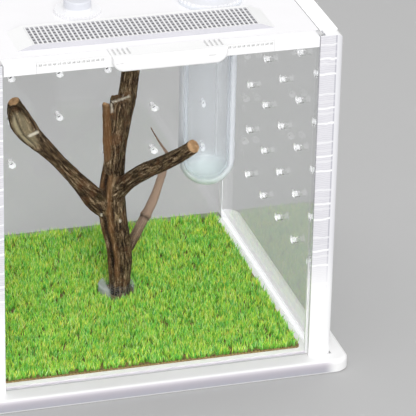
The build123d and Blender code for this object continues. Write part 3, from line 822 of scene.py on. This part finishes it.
def bark_lumps(flow):
    """Ridges along the grain and broader lumps, in millimetres."""
    push = np.zeros(len(flow))
    for index, (x, y, z) in enumerate(flow):
        ridge = noise.fractal(Vector((x * 1.6, y * 1.6, z)), 0.7, 2.2, 4)
        lump = noise.noise(Vector((x * 0.5, y * 0.5, z * 1.2 + 40)))
        push[index] = 0.20 * ridge + 0.22 * lump
    return push


def trunk_furrow(trunk, angle, height):
    """The trunk's deep furrow: how far round the trunk each point is from it, and where it runs."""
    wander = np.array([noise.noise(Vector((0, 0, level * 0.09))) for level in height]) * 0.35
    off_furrow = np.abs((angle - TRUNK_FURROW_WAY - wander + math.pi) % (2 * math.pi) - math.pi)
    reach = np.clip((height - 3) / 4, 0, 1) * np.clip((50 - height) / 8, 0, 1) * trunk
    return off_furrow, reach


def bark_branch():
    """The branch with its bark, furrowed along each limb, with the wound, the cut ends, the chips and the
    painted highlight between the stub and the snag.
    """
    branch = fine_branch()
    mesh = branch.data
    points = np.zeros(len(mesh.vertices) * 3)
    mesh.vertices.foreach_get("co", points)
    points = points.reshape(-1, 3)
    normals = np.array([vertex.normal[:] for vertex in mesh.vertices])
    names, along, outward, past_end = nearest_limb(points)
    height = points[:, 2] / MM - STAND_Z
    angle = np.arctan2(outward[:, 1], outward[:, 0])
    limb_no = np.array([list(LIMBS).index(name) for name in names])
    flow = np.stack((np.cos(angle) * 2.1, np.sin(angle) * 2.1, along / MM * 0.10 + limb_no * 7.3), axis=1)
    cut = (past_end > -0.25 * MM).astype(float)
    broken = np.isin(names, ("snag", "stub"))
    twig = names == "twig"
    pale = np.isin(names, ("twig", "sprig")).astype(float)
    pale[twig] *= np.clip((along[twig] / MM - 6) / 14, 0.15, 1)
    push = bark_lumps(flow)

    off_furrow, reach = trunk_furrow(names == "trunk", angle, height)
    crack = np.clip(1 - off_furrow / 0.17, 0, 1) * reach
    push -= 0.75 * crack
    off_ridge = np.abs(off_furrow - TRUNK_RIDGE_OFF)
    push += 0.30 * np.clip(1 - off_ridge / 0.3, 0, 1) * reach
    ruddy = 0.75 * np.clip(1 - off_ridge / 0.32, 0, 1) * reach
    ruddy = np.maximum(ruddy, 0.8 * (names == "stub"))

    wound, bare, lip, seam = limb_wound(names, along / MM, outward)
    push += 0.30 * lip - 0.40 * wound
    crack = np.maximum(crack, np.clip(np.maximum(lip * 1.4 - 0.7, seam * 0.85), 0, 1))

    past_node = along / MM - TWIG_NODE_ALONG
    push += 0.32 * twig * np.exp(-(past_node / 0.6) ** 2)
    crack = np.maximum(crack, twig * 0.75 * np.exp(-((past_node + 0.9) / 0.4) ** 2))
    crack = np.maximum(crack, twig * 0.8 * np.clip(1 - np.abs(along / MM - TWIG_CRACK_ALONG) / 1.2, 0, 1))

    splinter = np.array([noise.noise(Vector(point / MM * 0.9)) for point in points])
    push -= broken * cut * np.clip(splinter + 0.2, 0, 1) * 1.6
    push[(cut > 0.5) & ~broken] *= 0.2
    push[names == "sprig"] *= 0.15
    cut[names == "snag"] *= 0.2

    points = points + normals * push[:, None] * MM
    foot = points[:, 2] < (STAND_Z + FOOT_HEIGHT) * MM
    points[foot] = points[foot] - normals[foot] * np.maximum(push[foot], 0)[:, None] * MM
    points[:, 2] = np.maximum(points[:, 2], STAND_Z * MM)
    mesh.vertices.foreach_set("co", points.ravel())
    grain = mesh.attributes.new("bark_flow", "FLOAT_VECTOR", "POINT")
    grain.data.foreach_set("vector", flow.astype(np.float32).ravel())
    add_attribute(mesh, "cut_end", cut)
    add_attribute(mesh, "pale_bark", pale)
    add_attribute(mesh, "bark_crack", crack)
    add_attribute(mesh, "bare_wood", bare)
    add_attribute(mesh, "ruddy_bark", ruddy)
    add_attribute(mesh, "pale_chip", chips_and_gap_light_on(points, normals))
    mesh.update()
    alone(branch)
    bpy.ops.object.shade_smooth()
    mesh.materials.clear()
    mesh.materials.append(finishes["bark"])
    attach(branch, "root")
    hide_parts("branch")


# Studio: a plain floor, soft lamps and an even sky. Each lamp has its place, what it points at, its
# size in metres and its power in watts
LAMPS = (("top_lamp", (0.0, -0.1, 1.0), (0, 0, 0.05), 0.8, 2.4),
         ("front_lamp", (-0.15, -1.25, 0.55), (0, 0, 0.05), 0.8, 9.0))
SKY_STRENGTH = 0.68


def build_studio():
    """The floor, the sky and the lamps."""
    bpy.ops.object.select_all(action="DESELECT")
    bpy.ops.mesh.primitive_plane_add(size=8, location=(0, 2, 0))
    floor = bpy.context.object
    floor.name = "studio_floor"
    settle(floor)
    floor.data.materials.append(finishes["studio_floor"])
    world = bpy.data.worlds.new("studio_sky")
    world.use_nodes = True
    sky = world.node_tree.nodes["Background"]
    sky.inputs["Color"].default_value = (1, 1, 1, 1)
    sky.inputs["Strength"].default_value = SKY_STRENGTH
    bpy.context.scene.world = world
    for name, spot, aim, size, power in LAMPS:
        lamp = bpy.data.lights.new(name, "AREA")
        lamp.size = size
        lamp.energy = power
        holder = bpy.data.objects.new(name, lamp)
        holder.location = spot
        holder.rotation_euler = (Vector(aim) - Vector(spot)).to_track_quat("-Z", "Y").to_euler()
        bpy.context.scene.collection.objects.link(holder)


finishes = {
    "clear_acrylic": clear_acrylic(),
    "side_acrylic": wall_acrylic(
        "side_acrylic", "X", WALL_INNER_X,
        columns=("Y", SIDE_HOLE_Y, SIDE_HOLE_PITCH_Y), rows=(SIDE_HOLE_Z, SIDE_HOLE_PITCH_Z),
        bore=(-0.3 * MM, 3 * MM, 0.5 * MM, 0.22), foot=((248, 248, 250), 0.3), bend=1.25),
    "back_acrylic": wall_acrylic(
        "back_acrylic", "Y", WALL_INNER_Y,
        columns=("X", BACK_HOLE_X, BACK_HOLE_PITCH_X), rows=(BACK_HOLE_Z, BACK_HOLE_PITCH_Z),
        bore=(-2 * MM, 2.6 * MM, 0.15 * MM, 0.14), foot=((172, 178, 160), 0.0), bend=1.4),
    "post_acrylic": post_acrylic(),
    "lid_acrylic": milky_acrylic("lid_acrylic", (248, 247, 249), 0.7),
    "header_acrylic": milky_acrylic("header_acrylic", (250, 250, 251), 0.6),
    "white_plastic": white_plastic(),
    "tray_plastic": tray_plastic(),
    "mesh_plastic": mesh_plastic(),
    "frame_plastic": frame_plastic(),
    "cap_plastic": cap_plastic(),
    "tube_plastic": tube_plastic(),
    "turf_backing": turf_backing(),
    "turf_fibre": turf_fibre(),
    "foot_plastic": foot_plastic(),
    "bark": bark(),
    "studio_floor": studio_floor(),
}

worn_by = {
    "clear_acrylic": ("door_pane", "left_lid_rest", "right_lid_rest", "rear_lid_rest"),
    "side_acrylic": ("left_wall", "right_wall"),
    "back_acrylic": ("back_wall",),
    "post_acrylic": ("left_post", "right_post"),
    "lid_acrylic": ("lid_panel",),
    "header_acrylic": ("door_header",),
    "white_plastic": ("finger_pull",),
    "frame_plastic": ("mesh_frame",),
    "mesh_plastic": ("vent_mesh",),
    "tray_plastic": ("base_tray",),
    "cap_plastic": ("tube_cap", "port_plug"),
    "tube_plastic": ("feeder_tube",),
    "turf_backing": ("turf_backing",),
    "foot_plastic": ("branch_foot",),
}
for finish_name, node_names in worn_by.items():
    for node_name in node_names:
        wear(node_name, finishes[finish_name])

place_camera()
build_studio()
turf_a = plant_turf("turf_tufts_a", 11, 0.5)
turf_b = plant_turf("turf_tufts_b", 23, 0.5)
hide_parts("turf_pile")
bark_branch()

bpy.context.scene.view_settings.view_transform = "Standard"
